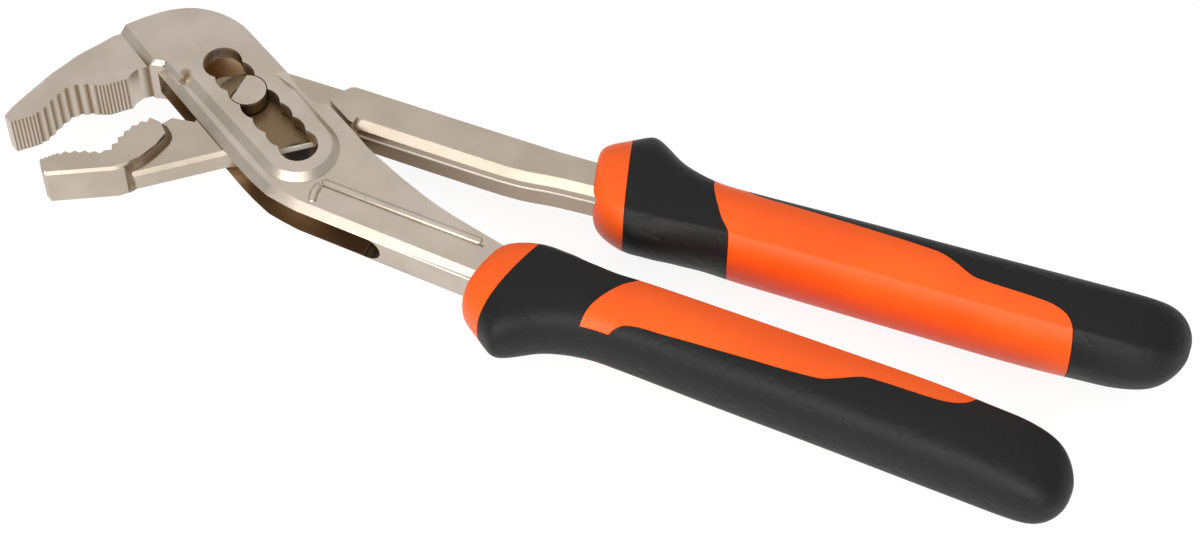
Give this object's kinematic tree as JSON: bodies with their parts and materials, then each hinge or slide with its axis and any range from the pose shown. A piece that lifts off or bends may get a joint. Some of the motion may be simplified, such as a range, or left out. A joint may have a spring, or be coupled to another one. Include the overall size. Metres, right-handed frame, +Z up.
{
  "type": "water pump pliers",
  "caption": "Water pump pliers with a box joint, a scalloped adjusting slot with a sliding pivot pin, toothed angled jaws and two-colour moulded grips.",
  "frame": {"origin": "centre of the pivot pin's lower end face, on the pivot axis, with the pin in the third of its seven seats", "axes": "+X from the jaws to the handles, +Y to the side of the inner lever's grip, +Z up through the tool's thickness as it lies flat"},
  "size_m": [0.2497, 0.0612, 0.02],
  "materials": {
    "lever_steel": "satin nickel plating on forged steel",
    "pin_steel": "fine turned face, satin",
    "grip_orange": "satin moulded plastic",
    "grip_black": "matt soft moulding, faintly dimpled at the sides"
  },
  "bodies": {
    "outer_lever": {"outer_lever": "lever_steel", "outer_grip_core": "grip_orange", "outer_grip_overmould": "grip_black"},
    "pivot_pin": {"pivot_pin": "pin_steel"},
    "inner_lever": {"inner_lever": "lever_steel", "inner_grip_core": "grip_orange", "inner_grip_overmould": "grip_black"}
  },
  "joints": [
    {"name": "seat_slide", "type": "slide", "parent": "outer_lever", "child": "pivot_pin", "axis": [0.8616, -0.5075, 0], "range_m": [-0.0095, 0.019]},
    {"name": "lever_hinge", "type": "hinge", "parent": "pivot_pin", "child": "inner_lever", "pos_m": [0, 0, 0.0066], "axis": [0, 0, 1], "range_deg": [0, 52]}
  ]
}
